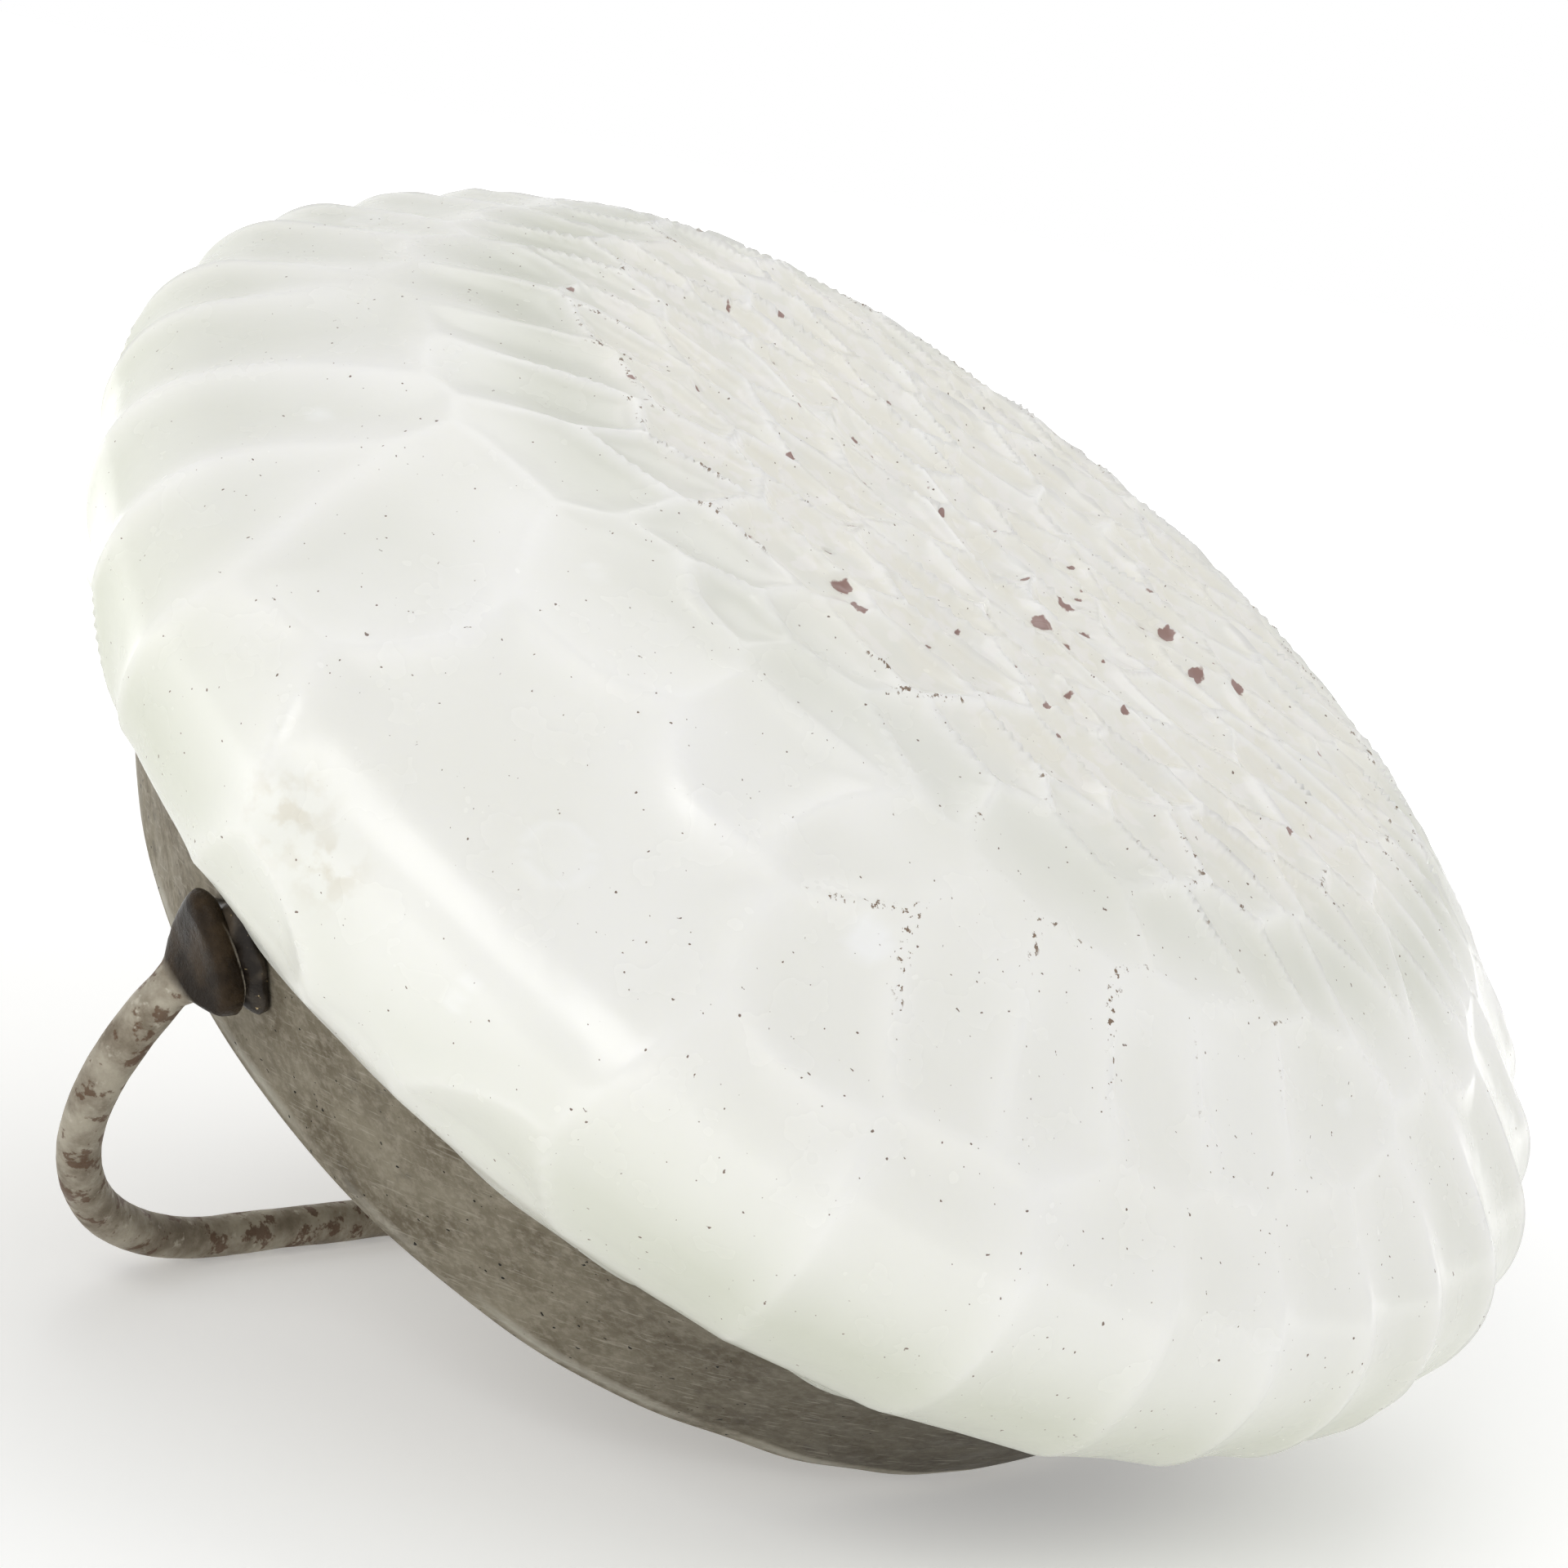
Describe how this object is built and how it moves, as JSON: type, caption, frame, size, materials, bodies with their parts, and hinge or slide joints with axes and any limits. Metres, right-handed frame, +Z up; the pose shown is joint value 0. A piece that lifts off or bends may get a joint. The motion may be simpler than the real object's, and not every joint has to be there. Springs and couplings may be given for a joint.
{
  "type": "sew-on button",
  "caption": "Domed opal-glass button set in a shallow tapered metal dish, with a wide soldered wire bail behind it as the shank.",
  "frame": {"origin": "on the table that the button lies on, under the middle of its bounding box", "axes": "+Z up from the table; +Y along the bar of the bail; +X the way the front leans. The button lies as it does on a table, on its bail and on the lower edge of its dish, so its own axis leans from +Z towards +X by about 30 degrees"},
  "size_m": [0.024, 0.027, 0.0179],
  "materials": {
    "opal_glass": "gloss",
    "dish_metal": "tarnished satin",
    "cement": "matte",
    "wire_metal": "tarnished satin",
    "solder": "gloss"
  },
  "bodies": {
    "root": {"glass_crown": "opal_glass", "back_dish": "dish_metal", "cement_bed": "cement", "shank_bail": "wire_metal", "front_solder_joint": "solder", "rear_solder_joint": "solder"}
  },
  "joints": []
}
